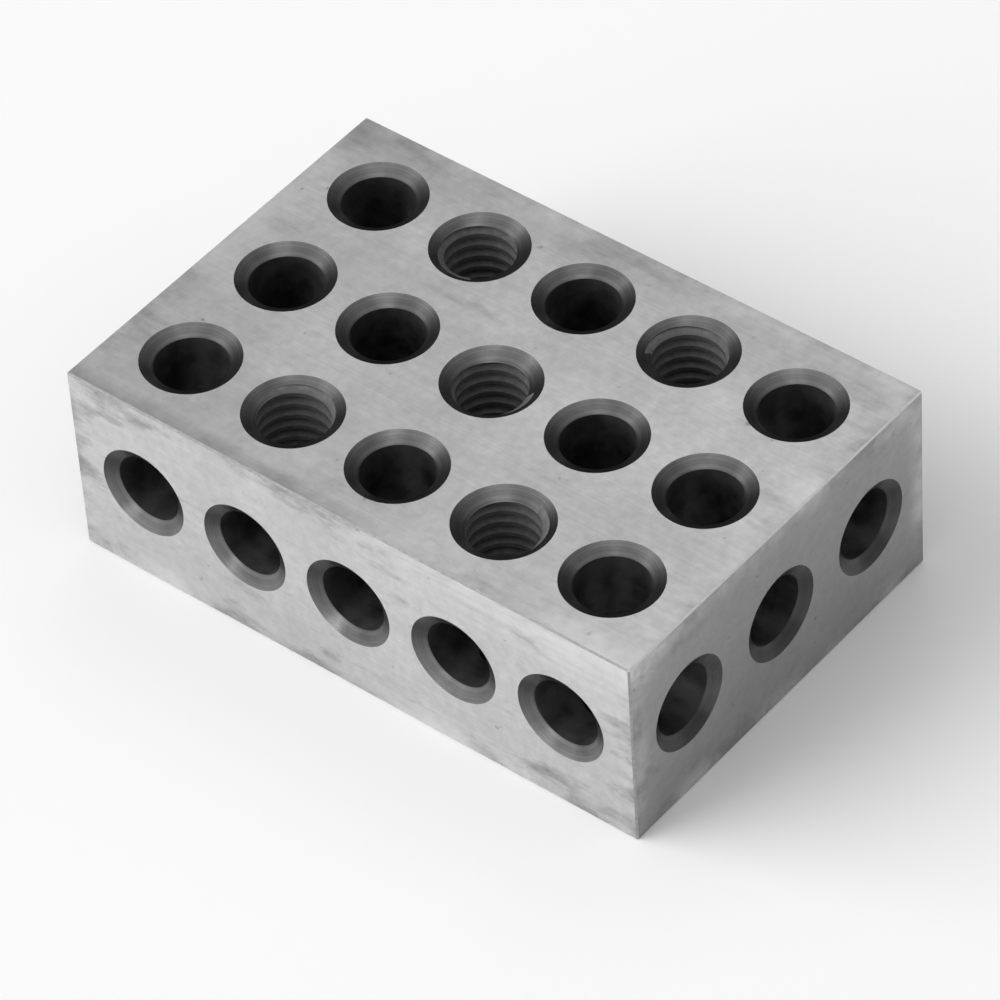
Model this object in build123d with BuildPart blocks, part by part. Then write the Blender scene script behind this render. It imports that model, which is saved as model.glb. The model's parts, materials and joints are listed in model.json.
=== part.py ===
"""Machinist setup block: a 1-2-3 block of hardened, ground tool steel.

One solid, one inch thick, two wide and three long, drilled right through on all three axes. The holes
across the width and along the length run through the middle of the thickness, on the same columns and
rows as the holes through the thickness, so that three bores cross at each place of the grid.
Millimetres, +X along the length, +Y across the width, +Z up, the origin under the middle of the block.
"""
import os

from build123d import *

# Driving dimensions of the block
length = 76.2  # three inches
width = 50.8  # two inches
height = 25.4  # one inch
edge_break = 0.2  # small flat filed along every outer edge

# Driving dimensions of the holes
columns = 5
rows = 3
edge_distance = 9.525  # from an end or a long side to the nearest row of hole axes, 3/8 in
thread_diameter = 9.525  # 3/8 in screws, which the tapped holes take
thread_pitch = 1.5875  # 16 threads to the inch
stud_diameter = 7.9375  # 5/16 in screws, studs and pins, which the clear holes let through
stud_clearance = 0.4  # how much wider a clear hole is than its stud
mouth_chamfer = 1.5  # width of the countersunk ring round a clear hole
countersink_angle = 118.0  # the point angle of a common drill

# Sizes that follow from those above
column_pitch = (length - 2 * edge_distance) / (columns - 1)
row_pitch = (width - 2 * edge_distance) / (rows - 1)
clear_radius = (stud_diameter + stud_clearance) / 2
tap_drill_radius = (thread_diameter - thread_pitch) / 2
mouth_radius = clear_radius + mouth_chamfer

# Places of the holes, counted from the middle of the block
column_places = [(column - (columns - 1) / 2) * column_pitch for column in range(columns)]
row_places = [(row - (rows - 1) / 2) * row_pitch for row in range(rows)]


def is_tapped(column, row):
    """Every second place of the grid is tapped, apart from the first and the last column."""
    return (column + row) % 2 == 1 and 0 < column < columns - 1


grid = [(column, row) for column in range(columns) for row in range(rows)]
tapped_places = [(column_places[c], row_places[r]) for c, r in grid if is_tapped(c, r)]
clear_places = [(column_places[c], row_places[r]) for c, r in grid if not is_tapped(c, r)]

# The six outer faces, each as a plane that looks outwards from the block
middle = height / 2
top_face = Plane((0, 0, height), x_dir=(1, 0, 0), z_dir=(0, 0, 1))
bottom_face = Plane((0, 0, 0), x_dir=(1, 0, 0), z_dir=(0, 0, -1))
front_face = Plane((0, -width / 2, middle), x_dir=(1, 0, 0), z_dir=(0, -1, 0))
back_face = Plane((0, width / 2, middle), x_dir=(1, 0, 0), z_dir=(0, 1, 0))
left_face = Plane((-length / 2, 0, middle), x_dir=(0, 1, 0), z_dir=(-1, 0, 0))
right_face = Plane((length / 2, 0, middle), x_dir=(0, 1, 0), z_dir=(1, 0, 0))

with BuildPart() as setup_block:
    Box(length, width, height, align=(Align.CENTER, Align.CENTER, Align.MIN))
    chamfer(setup_block.edges(), edge_break)

    # Through the thickness: clear and tapped holes, countersunk to one mouth size at both ends
    for face in (top_face, bottom_face):
        with Locations(face):
            with Locations(*clear_places):
                CounterSinkHole(clear_radius, mouth_radius, height, countersink_angle)
            with Locations(*tapped_places):
                CounterSinkHole(tap_drill_radius, mouth_radius, height, countersink_angle)

    # Across the width: one clear hole for each column
    for face in (front_face, back_face):
        with Locations(face):
            with GridLocations(column_pitch, 0, columns, 1):
                CounterSinkHole(clear_radius, mouth_radius, width, countersink_angle)

    # Along the length: one clear hole for each row
    for face in (left_face, right_face):
        with Locations(face):
            with GridLocations(row_pitch, 0, rows, 1):
                CounterSinkHole(clear_radius, mouth_radius, length, countersink_angle)

setup_block.part.label = "setup_block"
os.makedirs("parts", exist_ok=True)
export_step(setup_block.part, "parts/setup_block.step")
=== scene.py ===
"""Looks of the machinist setup block: ground tool steel, dark bores, cut threads, a pale studio floor."""
import json
import math

import bpy
import numpy as np
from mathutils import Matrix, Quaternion, Vector


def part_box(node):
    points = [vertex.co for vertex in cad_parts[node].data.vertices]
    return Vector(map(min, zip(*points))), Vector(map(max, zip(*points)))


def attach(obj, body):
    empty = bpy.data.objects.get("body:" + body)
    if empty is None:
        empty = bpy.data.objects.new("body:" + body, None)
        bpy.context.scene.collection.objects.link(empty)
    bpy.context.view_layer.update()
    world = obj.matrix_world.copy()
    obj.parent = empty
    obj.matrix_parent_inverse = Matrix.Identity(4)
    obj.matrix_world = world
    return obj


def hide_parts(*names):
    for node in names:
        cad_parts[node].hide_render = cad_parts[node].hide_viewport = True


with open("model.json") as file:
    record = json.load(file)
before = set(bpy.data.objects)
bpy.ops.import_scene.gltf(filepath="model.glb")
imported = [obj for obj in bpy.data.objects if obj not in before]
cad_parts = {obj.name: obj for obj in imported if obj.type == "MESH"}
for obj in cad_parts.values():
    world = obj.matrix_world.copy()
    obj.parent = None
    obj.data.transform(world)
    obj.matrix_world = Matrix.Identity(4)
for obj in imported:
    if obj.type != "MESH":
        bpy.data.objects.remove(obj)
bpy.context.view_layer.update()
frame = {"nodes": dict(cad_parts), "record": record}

# Setup block
# One block of tool steel, drilled through on three axes, hardened, and ground on its six faces afterwards.
# Five of the upright holes are tapped: their thread is cut here into a merged copy of the solid's mesh.
MM = 0.001
INCH = 25.4 * MM
block_low, block_high = (np.array(corner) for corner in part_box("setup_block"))
block_middle = (block_low + block_high) / 2
block_half = (block_high - block_low) / 2
mounts = {mount["name"]: mount for mount in frame["record"]["mounts"]}
tapped = mounts["tapped_holes"]["dims"]
tap_drill_radius = tapped["hole_r_mm"] * MM
tapped_reach = np.array((tapped["spacing_x_mm"], tapped["spacing_y_mm"])) * MM / 2
tapped_axes = np.array(((0, 0), (-1, -1), (-1, 1), (1, -1), (1, 1))) * tapped_reach

# The thread: 3/8 in across its roots, 16 turns to the inch, with flanks at 60 degrees to each other. Its
# crests lie just outside the drilled wall
thread_pitch = INCH / 16
thread_crest_radius = tap_drill_radius + 0.04 * MM
thread_root_radius = 3 / 8 * INCH / 2
thread_root_flat = thread_pitch / 8
flank_slope = math.tan(math.radians(30))

# The most that the middle of a broken edge's or a countersunk ring's face lies below the sides
broken_edge_limit = 0.5 * MM
countersink_limit = 1.05 * MM
GROUND, EDGE, RING, SCALE, THREAD = range(5)


def merged_copy(mesh):
    """Corners and triangles of a mesh of loose triangles, with the corners that share a place made one."""
    places = np.empty(len(mesh.vertices) * 3)
    mesh.vertices.foreach_get("co", places)
    corners = np.empty(len(mesh.loops), int)
    mesh.loops.foreach_get("vertex_index", corners)
    merge_step = 1e-7
    keys = np.round(places.reshape(-1, 3) / merge_step).astype(int)
    _, first, merged = np.unique(keys, axis=0, return_index=True, return_inverse=True)
    return places.reshape(-1, 3)[first], merged.reshape(-1)[corners].reshape(-1, 3)


def finishes(places, faces):
    """The finish of each face of the solid, from how deep the face's middle lies below the block's sides.

    A ground face lies in a side, a broken edge close to two sides and a countersunk ring close to one. The
    rest are bores, tapped where an upright wall stands as close to a tapped hole's axis as the tap drill
    leaves it.
    """
    touching = 0.001 * MM
    wall_slack = 0.01 * MM
    least_lean = 0.001
    centre = places[faces].mean(axis=1)
    inset = np.sort(block_half - np.abs(centre - block_middle), axis=1)
    from_axis = np.linalg.norm(centre[:, None, :2] - tapped_axes[None], axis=2).min(axis=1)
    edges = places[faces[:, 1:]] - places[faces[:, :1]]
    facing = np.cross(edges[:, 0], edges[:, 1])
    upright = np.abs(facing[:, 2]) < least_lean * np.linalg.norm(facing, axis=1)
    on_side = inset[:, 0] < touching
    on_edge = inset[:, 1] < broken_edge_limit
    on_ring = inset[:, 0] < countersink_limit
    in_tapped_wall = upright & (from_axis < tap_drill_radius + wall_slack)
    return np.select((on_side, on_edge, on_ring, in_tapped_wall), (GROUND, EDGE, RING, THREAD), SCALE)


def thread_taps(axes, low, high):
    """Closed tap shapes that cut a right-hand thread, one round each upright axis.

    A trapezoid tooth (radius r(i), height z(i), four corners to a turn) is carried round a helix:
    the point (i, j) is at angle a = 2 pi j / around, radius r(i) and height low + z(i) + pitch * j / around.
    The last column meets the first one turn higher, and a fan to a point on the axis closes each end.
    Each tap is shifted up by its own share of a turn, so no two threads start at the same angle.
    """
    around = 72
    corners = 4
    flank = (thread_root_radius - thread_crest_radius) * flank_slope
    crest_flat = thread_pitch - thread_root_flat - 2 * flank
    tooth_radius = np.repeat((thread_crest_radius, thread_root_radius), 2)
    tooth_height = np.cumsum((0, crest_flat, flank, thread_root_flat))
    turns = math.ceil((high - low) / thread_pitch)
    row = np.arange(turns * corners + 1)[:, None]
    column = np.arange(around)[None, :]
    angle = 2 * np.pi * column / around
    radius = tooth_radius[row % corners]
    height = low + tooth_height[row % corners] + thread_pitch * (row // corners + column / around)
    wall = np.stack(np.broadcast_arrays(radius * np.cos(angle), radius * np.sin(angle), height), -1)
    ends = np.array(((0, 0, low - thread_pitch), (0, 0, high + 2 * thread_pitch)))
    tap = np.concatenate((wall.reshape(-1, 3), ends))

    last = len(row) - 1
    index = np.arange(wall.shape[0] * around).reshape(-1, around)
    lower = index[:-corners]
    beside = np.concatenate((index[:-corners, 1:], index[corners:, :1]), axis=1)
    quads = np.stack((lower, beside, np.roll(beside, -1, 0), np.roll(lower, -1, 0)), -1)
    closed = quads[:-1].reshape(-1, 4)
    open_rows = np.arange(last - corners, last)
    top = np.stack((index[open_rows, :-1], index[open_rows, 1:],
                    index[open_rows + 1, 1:], index[open_rows + 1, :-1]), -1).reshape(-1, 4)
    bottom_loop = np.concatenate((index[0], index[corners:0:-1, 0]))
    top_loop = np.concatenate((index[last], index[last - 1:last - corners - 1:-1, -1]))
    bottom_end, top_end = len(tap) - 2, len(tap) - 1
    bottom_fan = np.stack((np.roll(bottom_loop, -1), bottom_loop, np.full_like(bottom_loop, bottom_end)), -1)
    top_fan = np.stack((top_loop, np.roll(top_loop, -1), np.full_like(top_loop, top_end)), -1)
    quads = np.concatenate((closed, top))
    triangles = np.concatenate((quads[:, (0, 1, 2)], quads[:, (0, 2, 3)], bottom_fan, top_fan))

    golden_share = 0.618
    start = golden_share * np.arange(len(axes)) % 1
    shift = np.concatenate((axes, thread_pitch * start[:, None]), axis=1)
    places = (tap[None] + shift[:, None]).reshape(-1, 3)
    faces = (triangles[None] + len(tap) * np.arange(len(axes))[:, None, None]).reshape(-1, 3)
    return places, faces


def new_object(name, places, faces, face_finishes):
    """An object at the origin, with the given corners and faces as its mesh and a finish for each face."""
    mesh = bpy.data.meshes.new(name)
    mesh.from_pydata(places, [], faces.tolist())
    mesh.polygons.foreach_set("material_index", np.array(face_finishes, np.int32))
    made = bpy.data.objects.new(name, mesh)
    bpy.context.scene.collection.objects.link(made)
    return made


def linear(code):
    """A colour written as an sRGB hex value, as linear red, green, blue and alpha.

    The curve between the two is a straight line near black and a power of 2.4 above it.
    """
    encoded = np.array([int(code[i:i + 2], 16) for i in (1, 3, 5)]) / 255
    decoded = np.where(encoded <= 0.04045, encoded / 12.92, ((encoded + 0.055) / 1.055) ** 2.4)
    return (*decoded.tolist(), 1.0)


def add_node(tree, kind, inputs=None, **settings):
    """A node with its settings, and its inputs set to values or linked to other nodes' outputs.

    Inputs go by name or by number. A map range's 0 to 4 are the value, the low and high ends of the range it
    comes from, and those of the range it goes to. A mix's 0 is the share of the second of its two vectors
    (4 and 5, output 1) or of its two colours (6 and 7, output 2).
    """
    node = tree.nodes.new(kind)
    for name, value in settings.items():
        setattr(node, name, value)
    for name, value in (inputs or {}).items():
        if isinstance(value, bpy.types.NodeSocket):
            tree.links.new(value, node.inputs[name])
        else:
            node.inputs[name].default_value = value
    return node


def new_material(name):
    """A material with an empty tree, its Principled shader and its output."""
    material = bpy.data.materials.new(name)
    material.use_nodes = True
    tree = material.node_tree
    tree.nodes.clear()
    shader = add_node(tree, "ShaderNodeBsdfPrincipled")
    add_node(tree, "ShaderNodeOutputMaterial", {"Surface": shader.outputs[0]})
    return material, tree, shader


def depths_below_sides(tree):
    """A point's place, and its distances in metres from the nearest side of the block and the next nearest.

    A point of a ground side is 0 from the nearest, and as far from the next as it is from the nearest edge.
    """
    place = add_node(tree, "ShaderNodeTexCoord").outputs["Object"]
    centred = add_node(tree, "ShaderNodeVectorMath", {0: place, 1: tuple(block_middle)}, operation="SUBTRACT")
    reach = add_node(tree, "ShaderNodeVectorMath", {0: centred.outputs[0]}, operation="ABSOLUTE")
    inset = add_node(tree, "ShaderNodeVectorMath", {0: tuple(block_half), 1: reach.outputs[0]},
                     operation="SUBTRACT")
    x, y, z = add_node(tree, "ShaderNodeSeparateXYZ", {0: inset.outputs[0]}).outputs
    least_xy = add_node(tree, "ShaderNodeMath", {0: x, 1: y}, operation="MINIMUM").outputs[0]
    most_xy = add_node(tree, "ShaderNodeMath", {0: x, 1: y}, operation="MAXIMUM").outputs[0]
    nearest = add_node(tree, "ShaderNodeMath", {0: least_xy, 1: z}, operation="MINIMUM").outputs[0]
    other = add_node(tree, "ShaderNodeMath", {0: least_xy, 1: z}, operation="MAXIMUM").outputs[0]
    second = add_node(tree, "ShaderNodeMath", {0: other, 1: most_xy}, operation="MINIMUM").outputs[0]
    return place, nearest, second


# Most of a noise pattern's values lie between these two
dip, peak = 0.3, 0.7


def ground_tool_steel():
    """Hardened tool steel, surface ground: a pale satin grey with fine straight wheel lines along each side.

    Years of oil and handling leave clouds and a fine mottle, dark stains that creep in from the edges, most
    of all on the long sides, small specks, hairline scratches, and paler patches where an edge was rubbed.
    Painted shade darkens the ends, the foot of the long sides, the back of the large faces and the top beside
    the left half of its front edge, and a painted sheen lies in pale streaks along the right half of that
    edge.
    """
    material, tree, shader = new_material("ground_tool_steel")
    place, _, from_edge = depths_below_sides(tree)
    normal = add_node(tree, "ShaderNodeTexCoord").outputs["Normal"]
    facing = add_node(tree, "ShaderNodeVectorMath", {0: normal}, operation="ABSOLUTE").outputs[0]
    on_end, on_long_side, on_large_face = add_node(tree, "ShaderNodeSeparateXYZ", {0: facing}).outputs
    lengthwise, sideways, above_floor = add_node(tree, "ShaderNodeSeparateXYZ", {0: place}).outputs

    # Wheel lines run along the block, and across it on the ends. Real ones lie about 0.05 mm apart, too
    # fine to show here, so they are drawn 0.3 mm wide
    line_length, line_width = 60 * MM, 0.3 * MM
    line_share = 0.22
    along = add_node(tree, "ShaderNodeVectorMath",
                     {0: place, 1: (1 / line_length, 1 / line_width, 1 / line_width)}, operation="MULTIPLY")
    across = add_node(tree, "ShaderNodeVectorMath",
                      {0: place, 1: (1 / line_width, 1 / line_length, 1 / line_width)}, operation="MULTIPLY")
    line_place = add_node(tree, "ShaderNodeMix", {0: on_end, 4: along.outputs[0], 5: across.outputs[0]},
                          data_type="VECTOR")
    lines = add_node(tree, "ShaderNodeTexNoise",
                     {"Vector": line_place.outputs[1], "Scale": 1.0, "Detail": 3.0})

    # Clouds of oil and handling some 10 mm across, and a mottle of about 1 mm
    cloud_size, mottle_size = 10 * MM, 1.2 * MM
    mottle_share = 0.25
    clouds = add_node(tree, "ShaderNodeTexNoise",
                      {"Vector": place, "Scale": 1 / cloud_size, "Detail": 6.0, "Roughness": 0.6})
    mottle = add_node(tree, "ShaderNodeTexNoise",
                      {"Vector": place, "Scale": 1 / mottle_size, "Detail": 3.0, "Roughness": 0.6})
    cloud_tone = add_node(tree, "ShaderNodeMapRange", {0: clouds.outputs[0], 1: dip, 2: peak, 3: 0.0, 4: 1.0})
    mottle_tone = add_node(tree, "ShaderNodeMapRange",
                           {0: mottle.outputs[0], 1: dip, 2: peak, 3: 0.0, 4: mottle_share})
    line_tone = add_node(tree, "ShaderNodeMapRange",
                         {0: lines.outputs[0], 1: dip, 2: peak, 3: 0.0, 4: line_share})
    steel = add_node(tree, "ShaderNodeMix",
                     {0: cloud_tone.outputs[0], 6: linear("#D0D0D0"), 7: linear("#DEDEDE")}, data_type="RGBA")
    mottled = add_node(tree, "ShaderNodeMix",
                       {0: mottle_tone.outputs[0], 6: steel.outputs[2], 7: linear("#8C8C8C")},
                       data_type="RGBA")
    lined = add_node(tree, "ShaderNodeMix",
                     {0: line_tone.outputs[0], 6: mottled.outputs[2], 7: linear("#ABABAB")}, data_type="RGBA")

    # Painted shade: a grey tone laid all over the ends, low on the long sides towards the floor, and along
    # the back of the large faces
    shade_reach = 12 * MM
    foot_shade_most, back_shade_most, painted_end_shade_share = 0.1, 0.3, 0.62
    foot_shade_ramp = add_node(tree, "ShaderNodeMapRange", {0: above_floor, 1: 0.0, 2: shade_reach, 3: foot_shade_most, 4: 0.0})
    back_shade_ramp = add_node(tree, "ShaderNodeMapRange",
                      {0: sideways, 1: block_high[1] - shade_reach, 2: block_high[1], 3: 0.0, 4: back_shade_most})
    painted_foot_shade = add_node(tree, "ShaderNodeMath", {0: foot_shade_ramp.outputs[0], 1: on_long_side}, operation="MULTIPLY")
    painted_end_shade = add_node(tree, "ShaderNodeMath", {0: on_end, 1: painted_end_shade_share, 2: painted_foot_shade.outputs[0]},
                        operation="MULTIPLY_ADD")
    painted_shade = add_node(tree, "ShaderNodeMath", {0: back_shade_ramp.outputs[0], 1: on_large_face, 2: painted_end_shade.outputs[0]},
                    operation="MULTIPLY_ADD")
    shade_painted = add_node(tree, "ShaderNodeMix",
                      {0: painted_shade.outputs[0], 6: lined.outputs[2], 7: linear("#7A7A7A")}, data_type="RGBA")

    # Stains: smears drawn out along the block, most of them within a few millimetres of the edges
    stain_length, stain_width, stain_reach = 14 * MM, 5 * MM, 6 * MM
    stain_start, stain_full, edge_gain = 0.58, 0.78, 0.16
    stain_elsewhere, stain_on_long_sides = 0.28, 0.6
    stain_place = add_node(tree, "ShaderNodeVectorMath",
                           {0: place, 1: (1 / stain_length, 1 / stain_width, 1 / stain_width)},
                           operation="MULTIPLY")
    stain_noise = add_node(tree, "ShaderNodeTexNoise",
                           {"Vector": stain_place.outputs[0], "Scale": 1.0, "Detail": 6.0, "Roughness": 0.65})
    near_edge = add_node(tree, "ShaderNodeMapRange",
                         {0: from_edge, 1: 0.0, 2: stain_reach, 3: edge_gain, 4: 0.0})
    crept = add_node(tree, "ShaderNodeMath", {0: stain_noise.outputs[0], 1: near_edge.outputs[0]},
                     operation="ADD")
    smear = add_node(tree, "ShaderNodeMapRange",
                     {0: crept.outputs[0], 1: stain_start, 2: stain_full, 3: 0.0, 4: 1.0},
                     interpolation_type="SMOOTHSTEP")
    share = add_node(tree, "ShaderNodeMapRange",
                     {0: on_long_side, 1: 0.0, 2: 1.0, 3: stain_elsewhere, 4: stain_on_long_sides})
    stain = add_node(tree, "ShaderNodeMath", {0: smear.outputs[0], 1: share.outputs[0]}, operation="MULTIPLY")
    stained = add_node(tree, "ShaderNodeMix",
                       {0: stain.outputs[0], 6: shade_painted.outputs[2], 7: linear("#6C6C6C")}, data_type="RGBA")

    # Specks of dirt and rust, a few tenths of a millimetre across
    speck_spacing = 1.6 * MM
    speck_start, speck_full, speck_share = 0.71, 0.77, 0.4
    speck_noise = add_node(tree, "ShaderNodeTexNoise",
                           {"Vector": place, "Scale": 1 / speck_spacing, "Detail": 2.0})
    speck = add_node(tree, "ShaderNodeMapRange",
                     {0: speck_noise.outputs[0], 1: speck_start, 2: speck_full, 3: 0.0, 4: speck_share})
    specked = add_node(tree, "ShaderNodeMix",
                       {0: speck.outputs[0], 6: stained.outputs[2], 7: linear("#4A4A4A")}, data_type="RGBA")

    # Hairline scratches, slanted across the wheel lines. Real ones are a hair wide, and these are 0.12 mm
    scratch_length, scratch_width = 22 * MM, 0.12 * MM
    scratch_slant = (0.6, 0.45, 0.35)
    scratch_start, scratch_full, scratch_share = 0.78, 0.84, 0.5
    scratch_place = add_node(tree, "ShaderNodeMapping",
                             {"Vector": place, "Rotation": scratch_slant,
                              "Scale": (1 / scratch_length, 1 / scratch_width, 1 / scratch_width)},
                             vector_type="POINT")
    scratch_noise = add_node(tree, "ShaderNodeTexNoise",
                             {"Vector": scratch_place.outputs[0], "Scale": 1.0, "Detail": 0.0})
    scratch = add_node(tree, "ShaderNodeMapRange",
                       {0: scratch_noise.outputs[0], 1: scratch_start, 2: scratch_full,
                        3: 0.0, 4: scratch_share})
    scratched = add_node(tree, "ShaderNodeMix",
                         {0: scratch.outputs[0], 6: specked.outputs[2], 7: linear("#E4E4E4")},
                         data_type="RGBA")

    # Paler patches within a few millimetres of an edge, where hands and other steel rub
    rub_core, rub_reach = 0.9 * MM, 3 * MM
    rub_start, rub_full, rub_most = 0.45, 0.65, 0.6
    rub = add_node(tree, "ShaderNodeMapRange", {0: from_edge, 1: rub_core, 2: rub_reach, 3: rub_most, 4: 0.0})
    rub_patch = add_node(tree, "ShaderNodeMapRange",
                         {0: clouds.outputs[0], 1: rub_start, 2: rub_full, 3: 0.0, 4: 1.0})
    rub_share = add_node(tree, "ShaderNodeMath", {0: rub.outputs[0], 1: rub_patch.outputs[0]},
                         operation="MULTIPLY")
    rubbed = add_node(tree, "ShaderNodeMix",
                      {0: rub_share.outputs[0], 6: scratched.outputs[2], 7: linear("#E2E2E2")},
                      data_type="RGBA")

    # Painted shade: a darker line on the top, beside the left half of its front edge
    left_right_start, left_right_full = -10 * MM, 15 * MM
    left_shade_core, left_shade_reach, left_shade_most = 0.8 * MM, 2.4 * MM, 0.3
    front_edge = (0, block_low[1], block_high[2])
    crosswise = add_node(tree, "ShaderNodeVectorMath", {0: place, 1: (0, 1, 1)}, operation="MULTIPLY")
    from_front = add_node(tree, "ShaderNodeVectorMath", {0: crosswise.outputs[0], 1: front_edge},
                          operation="DISTANCE").outputs["Value"]
    left_half = add_node(tree, "ShaderNodeMapRange",
                      {0: lengthwise, 1: left_right_start, 2: left_right_full, 3: 1.0, 4: 0.0})
    left_shade_band = add_node(tree, "ShaderNodeMapRange",
                          {0: from_front, 1: left_shade_core, 2: left_shade_reach, 3: left_shade_most, 4: 0.0})
    left_shade_along = add_node(tree, "ShaderNodeMath", {0: left_shade_band.outputs[0], 1: left_half.outputs[0]},
                          operation="MULTIPLY")
    painted_left_shade = add_node(tree, "ShaderNodeMath", {0: left_shade_along.outputs[0], 1: on_large_face},
                     operation="MULTIPLY")
    left_shaded = add_node(tree, "ShaderNodeMix",
                     {0: painted_left_shade.outputs[0], 6: rubbed.outputs[2], 7: linear("#7A7A7A")}, data_type="RGBA")

    # Painted sheen: pale streaks along the right half of the top's front edge, most of them on the long side
    streak_length, streak_width = 9 * MM, 1.2 * MM
    streak_start, streak_full = 0.35, 0.65
    sheen_core, sheen_reach = 1 * MM, 7 * MM
    sheen_on_side, sheen_on_top = 0.55, 0.15
    streak_place = add_node(tree, "ShaderNodeVectorMath",
                            {0: place, 1: (1 / streak_length, 1 / streak_width, 1 / streak_width)},
                            operation="MULTIPLY")
    streaks = add_node(tree, "ShaderNodeTexNoise",
                       {"Vector": streak_place.outputs[0], "Scale": 1.0, "Detail": 4.0, "Roughness": 0.6})
    right_half = add_node(tree, "ShaderNodeMapRange", {0: lengthwise, 1: left_right_start, 2: left_right_full, 3: 0.0, 4: 1.0})
    sheen_band = add_node(tree, "ShaderNodeMapRange",
                         {0: from_front, 1: sheen_core, 2: sheen_reach, 3: 1.0, 4: 0.0})
    sheen_patch = add_node(tree, "ShaderNodeMapRange",
                          {0: streaks.outputs[0], 1: streak_start, 2: streak_full, 3: 0.0, 4: 1.0})
    sheen_share = add_node(tree, "ShaderNodeMapRange",
                          {0: on_large_face, 1: 0.0, 2: 1.0, 3: sheen_on_side, 4: sheen_on_top})
    sheen_right = add_node(tree, "ShaderNodeMath", {0: sheen_band.outputs[0], 1: right_half.outputs[0]},
                          operation="MULTIPLY")
    sheen_streaks = add_node(tree, "ShaderNodeMath", {0: sheen_right.outputs[0], 1: sheen_patch.outputs[0]},
                            operation="MULTIPLY")
    painted_sheen = add_node(tree, "ShaderNodeMath", {0: sheen_streaks.outputs[0], 1: sheen_share.outputs[0]},
                    operation="MULTIPLY")
    handled = add_node(tree, "ShaderNodeMix",
                       {0: painted_sheen.outputs[0], 6: left_shaded.outputs[2], 7: linear("#ECECEC")}, data_type="RGBA")
    tree.links.new(handled.outputs[2], shader.inputs["Base Color"])

    # Satin, duller between the clouds and on the stains
    dull, satin, stain_dulling = 0.42, 0.34, 0.2
    dulled = add_node(tree, "ShaderNodeMapRange", {0: clouds.outputs[0], 1: dip, 2: peak, 3: dull, 4: satin})
    duller = add_node(tree, "ShaderNodeMath", {0: stain.outputs[0], 1: stain_dulling, 2: dulled.outputs[0]},
                      operation="MULTIPLY_ADD")
    tree.links.new(duller.outputs[0], shader.inputs["Roughness"])
    shader.inputs["Metallic"].default_value = 1.0

    # The wheel lines stand up, and the specks are pits
    line_height = 0.004 * MM
    speck_rise = -2.0
    relief = add_node(tree, "ShaderNodeMath", {0: speck.outputs[0], 1: speck_rise, 2: lines.outputs[0]},
                      operation="MULTIPLY_ADD")
    bump = add_node(tree, "ShaderNodeBump",
                    {"Height": relief.outputs[0], "Distance": line_height, "Strength": 1.0})
    tree.links.new(bump.outputs[0], shader.inputs["Normal"])
    return material


def filed_steel():
    """Edges broken by hand with a file: a narrow flat of short torn strokes, duller than a ground side. They
    have gone grey with handling, and the one along the top of the right end carries a painted highlight, a
    pale tone that lifts it out of its shade.
    """
    material, tree, shader = new_material("filed_steel")
    coordinates = add_node(tree, "ShaderNodeTexCoord").outputs
    stroke_size, stroke_height = 0.7 * MM, 0.01 * MM
    strokes = add_node(tree, "ShaderNodeTexNoise",
                       {"Vector": coordinates["Object"], "Scale": 1 / stroke_size,
                        "Detail": 4.0, "Roughness": 0.6})
    tone = add_node(tree, "ShaderNodeMapRange", {0: strokes.outputs[0], 1: dip, 2: peak, 3: 0.0, 4: 1.0})
    handled = add_node(tree, "ShaderNodeMix",
                       {0: tone.outputs[0], 6: linear("#9C9C9C"), 7: linear("#B2B2B2")}, data_type="RGBA")
    painted_highlight = add_node(tree, "ShaderNodeMix",
                      {0: tone.outputs[0], 6: linear("#DCDCDC"), 7: linear("#EAEAEA")}, data_type="RGBA")

    # The painted highlight goes on the flat that faces half up and half to the right, so both those parts of
    # its normal are about 0.7
    half_way = 0.7
    towards_end, _, upward = add_node(tree, "ShaderNodeSeparateXYZ", {0: coordinates["Normal"]}).outputs
    up_and_endward = add_node(tree, "ShaderNodeMath", {0: towards_end, 1: upward}, operation="MINIMUM")
    highlight_share = add_node(tree, "ShaderNodeMapRange",
                            {0: up_and_endward.outputs[0], 1: 0.0, 2: half_way, 3: 0.0, 4: 1.0})
    colour = add_node(tree, "ShaderNodeMix",
                      {0: highlight_share.outputs[0], 6: handled.outputs[2], 7: painted_highlight.outputs[2]},
                      data_type="RGBA")
    tree.links.new(colour.outputs[2], shader.inputs["Base Color"])
    torn, smooth = 0.85, 0.75
    gloss = add_node(tree, "ShaderNodeMapRange", {0: strokes.outputs[0], 1: dip, 2: peak, 3: torn, 4: smooth})
    tree.links.new(gloss.outputs[0], shader.inputs["Roughness"])
    shader.inputs["Metallic"].default_value = 0.5
    bump = add_node(tree, "ShaderNodeBump",
                    {"Height": strokes.outputs[0], "Distance": stroke_height, "Strength": 1.0})
    tree.links.new(bump.outputs[0], shader.inputs["Normal"])
    return material


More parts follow.
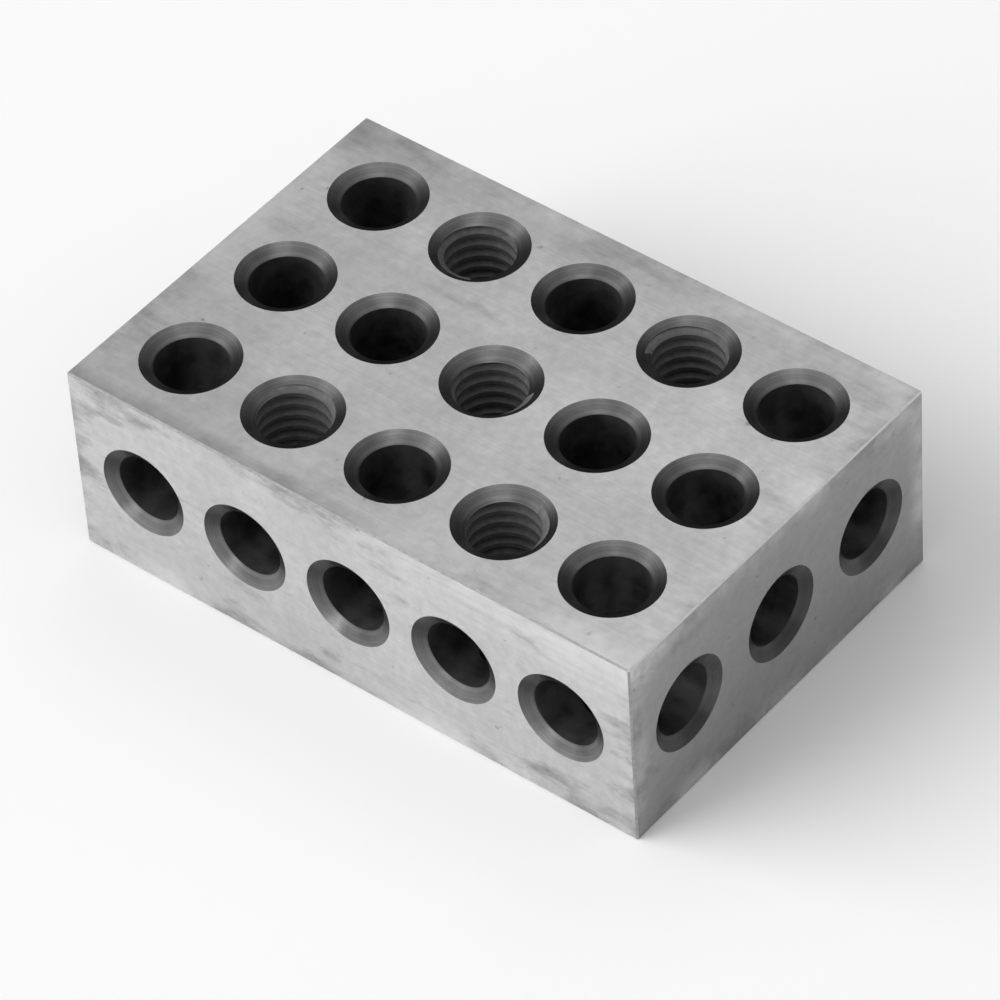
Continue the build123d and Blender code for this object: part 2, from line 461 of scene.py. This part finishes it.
def hardened_skin():
    """Countersunk rings, cut before the hardening and not ground after it: tool steel under a thin dark skin,
    with the circles that the cutter left. Painted shade darkens all of the rings on the ends, and the upper
    parts of those on the long sides, which face down.
    """
    material, tree, shader = new_material("hardened_skin")
    place, depth, _ = depths_below_sides(tree)
    circle_width, circle_height = 0.16 * MM, 0.006 * MM
    skin_size = 3 * MM
    both_dip, both_peak = 0.7, 1.3
    circle_place = add_node(tree, "ShaderNodeMath", {0: depth, 1: 1 / circle_width}, operation="MULTIPLY")
    circles = add_node(tree, "ShaderNodeTexNoise",
                       {"W": circle_place.outputs[0], "Scale": 1.0, "Detail": 2.0}, noise_dimensions="1D")
    skin = add_node(tree, "ShaderNodeTexNoise", {"Vector": place, "Scale": 1 / skin_size, "Detail": 5.0})
    both = add_node(tree, "ShaderNodeMath", {0: circles.outputs[0], 1: skin.outputs[0]}, operation="ADD")
    tone = add_node(tree, "ShaderNodeMapRange",
                    {0: both.outputs[0], 1: both_dip, 2: both_peak, 3: 0.0, 4: 1.0})
    colour = add_node(tree, "ShaderNodeMix",
                      {0: tone.outputs[0], 6: linear("#5E5E5E"), 7: linear("#828282")}, data_type="RGBA")

    # A ring leans 31 degrees from the side it is cut in, so the part of its normal along that side's is 0.86,
    # and along any other side's it is 0.52 or less. The upper part of a ring on a long side faces down
    # Painted shade: a dark tone over the rings on the ends and over the downward-facing upper parts of the
    # long sides' rings
    other_side, own_side = 0.6, 0.85
    facing_down, facing_up = -0.2, 0.35
    painted_end_shade_share, painted_side_ring_shade_share = 0.7, 0.95
    normal = add_node(tree, "ShaderNodeTexCoord").outputs["Normal"]
    facing = add_node(tree, "ShaderNodeVectorMath", {0: normal}, operation="ABSOLUTE").outputs[0]
    endward, sideward, _ = add_node(tree, "ShaderNodeSeparateXYZ", {0: facing}).outputs
    upward = add_node(tree, "ShaderNodeSeparateXYZ", {0: normal}).outputs[2]
    painted_end_shade = add_node(tree, "ShaderNodeMapRange",
                        {0: endward, 1: other_side, 2: own_side, 3: 0.0, 4: painted_end_shade_share})
    on_long_side = add_node(tree, "ShaderNodeMapRange",
                            {0: sideward, 1: other_side, 2: own_side, 3: 0.0, 4: 1.0})
    facing_down_shade = add_node(tree, "ShaderNodeMapRange",
                         {0: upward, 1: facing_down, 2: facing_up, 3: painted_side_ring_shade_share, 4: 0.0})
    painted_shade = add_node(tree, "ShaderNodeMath",
                    {0: facing_down_shade.outputs[0], 1: on_long_side.outputs[0], 2: painted_end_shade.outputs[0]},
                    operation="MULTIPLY_ADD")
    shade_painted = add_node(tree, "ShaderNodeMix",
                      {0: painted_shade.outputs[0], 6: colour.outputs[2], 7: linear("#343434")}, data_type="RGBA")
    tree.links.new(shade_painted.outputs[2], shader.inputs["Base Color"])
    dull, glossy = 0.36, 0.26
    gloss = add_node(tree, "ShaderNodeMapRange", {0: skin.outputs[0], 1: dip, 2: peak, 3: dull, 4: glossy})
    tree.links.new(gloss.outputs[0], shader.inputs["Roughness"])
    shader.inputs["Metallic"].default_value = 1.0
    bump = add_node(tree, "ShaderNodeBump",
                    {"Height": circles.outputs[0], "Distance": circle_height, "Strength": 1.0})
    tree.links.new(bump.outputs[0], shader.inputs["Normal"])
    return material


def hardening_scale():
    """Bore walls left as they came out of the hardening furnace: a black, slightly glossy skin of patchy
    scale, with painted light that makes it paler towards the mouths and leaves it dark deeper in.
    """
    material, tree, shader = new_material("hardening_scale")
    place, depth, _ = depths_below_sides(tree)
    patch_size, patch_height = 2 * MM, 0.02 * MM
    patch_start, patch_full = 0.35, 0.7
    patches = add_node(tree, "ShaderNodeTexNoise",
                       {"Vector": place, "Scale": 1 / patch_size, "Detail": 6.0, "Roughness": 0.6})
    patch_tone = add_node(tree, "ShaderNodeMapRange",
                          {0: patches.outputs[0], 1: patch_start, 2: patch_full, 3: 0.0, 4: 1.0})
    scale = add_node(tree, "ShaderNodeMix",
                     {0: patch_tone.outputs[0], 6: linear("#3A3A3A"), 7: linear("#5E5E5E")}, data_type="RGBA")
    # Painted light: the walls paler within a few millimetres of the mouths, darker deeper in
    mouth_depth, mouth_light_depth, mouth_light_share = 0.8 * MM, 4 * MM, 0.5
    painted_mouth_light = add_node(tree, "ShaderNodeMapRange",
                    {0: depth, 1: mouth_depth, 2: mouth_light_depth, 3: mouth_light_share, 4: 0.0})
    colour = add_node(tree, "ShaderNodeMix",
                      {0: painted_mouth_light.outputs[0], 6: scale.outputs[2], 7: linear("#6E6E6E")}, data_type="RGBA")
    tree.links.new(colour.outputs[2], shader.inputs["Base Color"])
    shader.inputs["Metallic"].default_value = 0.8
    glossy, dull = 0.4, 0.6
    gloss = add_node(tree, "ShaderNodeMapRange", {0: patches.outputs[0], 1: dip, 2: peak, 3: glossy, 4: dull})
    tree.links.new(gloss.outputs[0], shader.inputs["Roughness"])
    bump = add_node(tree, "ShaderNodeBump",
                    {"Height": patches.outputs[0], "Distance": patch_height, "Strength": 1.0})
    tree.links.new(bump.outputs[0], shader.inputs["Normal"])
    return material


def tapped_tool_steel():
    """Walls that the tap cut: dull grey flanks and roots, between crests that are what is left of the darker
    drilled wall. The paler flanks and roots are also painted light, which evens out the shade in the grooves.

    The cut's share of the tone grows with the distance from the nearest tapped hole's axis. The holes stand
    at the block's middle and, mirrored, at one place in each quarter, so two distances are enough.
    """
    material, tree, shader = new_material("tapped_tool_steel")
    place = add_node(tree, "ShaderNodeTexCoord").outputs["Object"]
    tear_size, tear_height = 0.8 * MM, 0.02 * MM
    tears = add_node(tree, "ShaderNodeTexNoise",
                     {"Vector": place, "Scale": 1 / tear_size, "Detail": 5.0, "Roughness": 0.6})
    tone = add_node(tree, "ShaderNodeMapRange", {0: tears.outputs[0], 1: dip, 2: peak, 3: 0.0, 4: 1.0})
    crest = add_node(tree, "ShaderNodeMix",
                     {0: tone.outputs[0], 6: linear("#505050"), 7: linear("#5E5E5E")}, data_type="RGBA")
    flank = add_node(tree, "ShaderNodeMix",
                     {0: tone.outputs[0], 6: linear("#626262"), 7: linear("#727272")}, data_type="RGBA")
    level = add_node(tree, "ShaderNodeVectorMath", {0: place, 1: (1, 1, 0)}, operation="MULTIPLY").outputs[0]
    mirrored = add_node(tree, "ShaderNodeVectorMath", {0: level}, operation="ABSOLUTE").outputs[0]
    from_middle = add_node(tree, "ShaderNodeVectorMath", {0: level}, operation="LENGTH").outputs["Value"]
    from_quarter = add_node(tree, "ShaderNodeVectorMath", {0: mirrored, 1: (*tapped_reach, 0)},
                            operation="DISTANCE").outputs["Value"]
    from_axis = add_node(tree, "ShaderNodeMath", {0: from_middle, 1: from_quarter}, operation="MINIMUM")
    # Partly painted light: the paler flanks and roots also even out the shade deep in the grooves
    cut_and_light_share = add_node(tree, "ShaderNodeMapRange",
                         {0: from_axis.outputs[0], 1: thread_crest_radius, 2: thread_root_radius,
                          3: 0.0, 4: 1.0})
    colour = add_node(tree, "ShaderNodeMix",
                      {0: cut_and_light_share.outputs[0], 6: crest.outputs[2], 7: flank.outputs[2]}, data_type="RGBA")
    tree.links.new(colour.outputs[2], shader.inputs["Base Color"])
    torn, smooth = 0.7, 0.52
    gloss = add_node(tree, "ShaderNodeMapRange", {0: tears.outputs[0], 1: dip, 2: peak, 3: torn, 4: smooth})
    tree.links.new(gloss.outputs[0], shader.inputs["Roughness"])
    shader.inputs["Metallic"].default_value = 0.3
    bump = add_node(tree, "ShaderNodeBump",
                    {"Height": tears.outputs[0], "Distance": tear_height, "Strength": 1.0})
    tree.links.new(bump.outputs[0], shader.inputs["Normal"])
    return material


solid_places, solid_faces = merged_copy(frame["nodes"]["setup_block"].data)
block = new_object("setup_block_tapped", solid_places, solid_faces, finishes(solid_places, solid_faces))
for finish in (ground_tool_steel(), filed_steel(), hardened_skin(), hardening_scale(), tapped_tool_steel()):
    block.data.materials.append(finish)
tap_places, tap_faces = thread_taps(tapped_axes, low=-2 * thread_pitch, high=block_high[2] + thread_pitch)
taps = new_object("thread_taps", tap_places, tap_faces, np.full(len(tap_faces), THREAD))
for finish in block.data.materials:
    taps.data.materials.append(finish)
cut = block.modifiers.new("thread", "BOOLEAN")
cut.operation = "DIFFERENCE"
cut.solver = "MANIFOLD"
cut.object = taps
threaded = bpy.data.meshes.new_from_object(block.evaluated_get(bpy.context.evaluated_depsgraph_get()))
block.modifiers.remove(cut)
block.data = threaded
bpy.data.objects.remove(taps)
threaded.polygons.foreach_set("use_smooth", np.ones(len(threaded.polygons), bool))
sharp_angle = math.radians(30)
threaded.set_sharp_from_angle(angle=sharp_angle)
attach(block, "root")
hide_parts("setup_block")

# Floor
# A wide sheet of pale studio paper under the block, dull and nearly white.
floor_reach = 4.0
floor_corners = np.pad(np.array(((-1, -1), (1, -1), (1, 1), (-1, 1))) * floor_reach, ((0, 0), (0, 1)))
floor = new_object("floor", floor_corners, np.array(((0, 1, 2, 3),)), (0,))
paper, _, paper_shader = new_material("studio_paper")
paper_shader.inputs["Base Color"].default_value = linear("#F4F4F4")
paper_shader.inputs["Roughness"].default_value = 0.9
paper_shader.inputs["Specular IOR Level"].default_value = 0.1
floor.data.materials.append(paper)

# Light
# A room whose pale ceiling is brightest over the front, and soft boxes: small ones behind, overhead, at the
# right and low in front, and a large pair low on the left. Of the pair, a bright one lights the paper and is
# kept out of reflections, so that no side mirrors it as a white sheet. A faint one is what the metal shows.
scene = bpy.context.scene
scene.view_settings.view_transform = "Standard"
room = bpy.data.worlds.new("studio_room")
room.use_nodes = True
room_tree = room.node_tree
direction = add_node(room_tree, "ShaderNodeTexCoord").outputs["Generated"]
brightest = (0, -0.4, 0.92)
nearness = add_node(room_tree, "ShaderNodeVectorMath", {0: direction, 1: brightest}, operation="DOT_PRODUCT")
dim_walls, pale_ceiling = 0.04, 0.85
wall_nearness, ceiling_nearness = 0.1, 1.0
glow = add_node(room_tree, "ShaderNodeMapRange",
                {0: nearness.outputs["Value"], 1: wall_nearness, 2: ceiling_nearness,
                 3: dim_walls, 4: pale_ceiling})
room_light = room_tree.nodes["Background"]
room_light.inputs["Color"].default_value = linear("#FFFFFF")
room_tree.links.new(glow.outputs[0], room_light.inputs["Strength"])
scene.world = room


def soft_box(name, place, size, brightness):
    """A square area lamp that faces the block. Its power is its brightness times pi times its area, so that a
    brightness of 1 looks white.
    """
    lamp = bpy.data.lights.new(name, "AREA")
    lamp.shape = "SQUARE"
    lamp.size = size
    lamp.energy = brightness * math.pi * size ** 2
    box = bpy.data.objects.new(name, lamp)
    box.location = place
    box.rotation_mode = "QUATERNION"
    box.rotation_quaternion = (Vector(block_middle) - Vector(place)).to_track_quat("-Z", "Y")
    scene.collection.objects.link(box)
    return box


paper_box = soft_box("paper_box", place=(-2.2, -2.2, 1.4), size=3.6, brightness=3.0)
paper_box.visible_glossy = False
soft_box("key_box", place=(-2.26, -2.26, 1.44), size=3.7, brightness=0.85)
soft_box("back_box", place=(-0.3, 0.77, 0.97), size=0.9, brightness=0.68)
soft_box("overhead_box", place=(0.2, -0.22, 1.2), size=0.5, brightness=0.5)
soft_box("right_box", place=(0.95, 0.54, 0.5), size=0.9, brightness=0.4)
soft_box("front_box", place=(-0.12, -1.98, 0.26), size=0.6, brightness=2.4)

# Camera
# The photograph's viewing angle: from the right end and one long side, looking well down, slightly rolled.
# The sensor and the focal length are in millimetres.
view_azimuth = math.radians(41.4)
view_elevation = math.radians(44.1)
view_roll = math.radians(-4.1)
view_distance = 0.7
aim_drop = 5 * MM
sensor_width, focal_length = 36, 234
towards_camera = Vector((math.sin(view_azimuth) * math.cos(view_elevation),
                         -math.cos(view_azimuth) * math.cos(view_elevation), math.sin(view_elevation)))
lens = bpy.data.cameras.new("camera")
lens.sensor_width = sensor_width
lens.lens = focal_length
camera = bpy.data.objects.new("camera", lens)
camera.location = Vector(block_middle) + view_distance * towards_camera
aim = Vector(block_middle) - Vector((0, 0, aim_drop))
camera.rotation_mode = "QUATERNION"
level = (aim - camera.location).to_track_quat("-Z", "Y")
camera.rotation_quaternion = level @ Quaternion((0, 0, 1), view_roll)
scene.collection.objects.link(camera)
scene.camera = camera
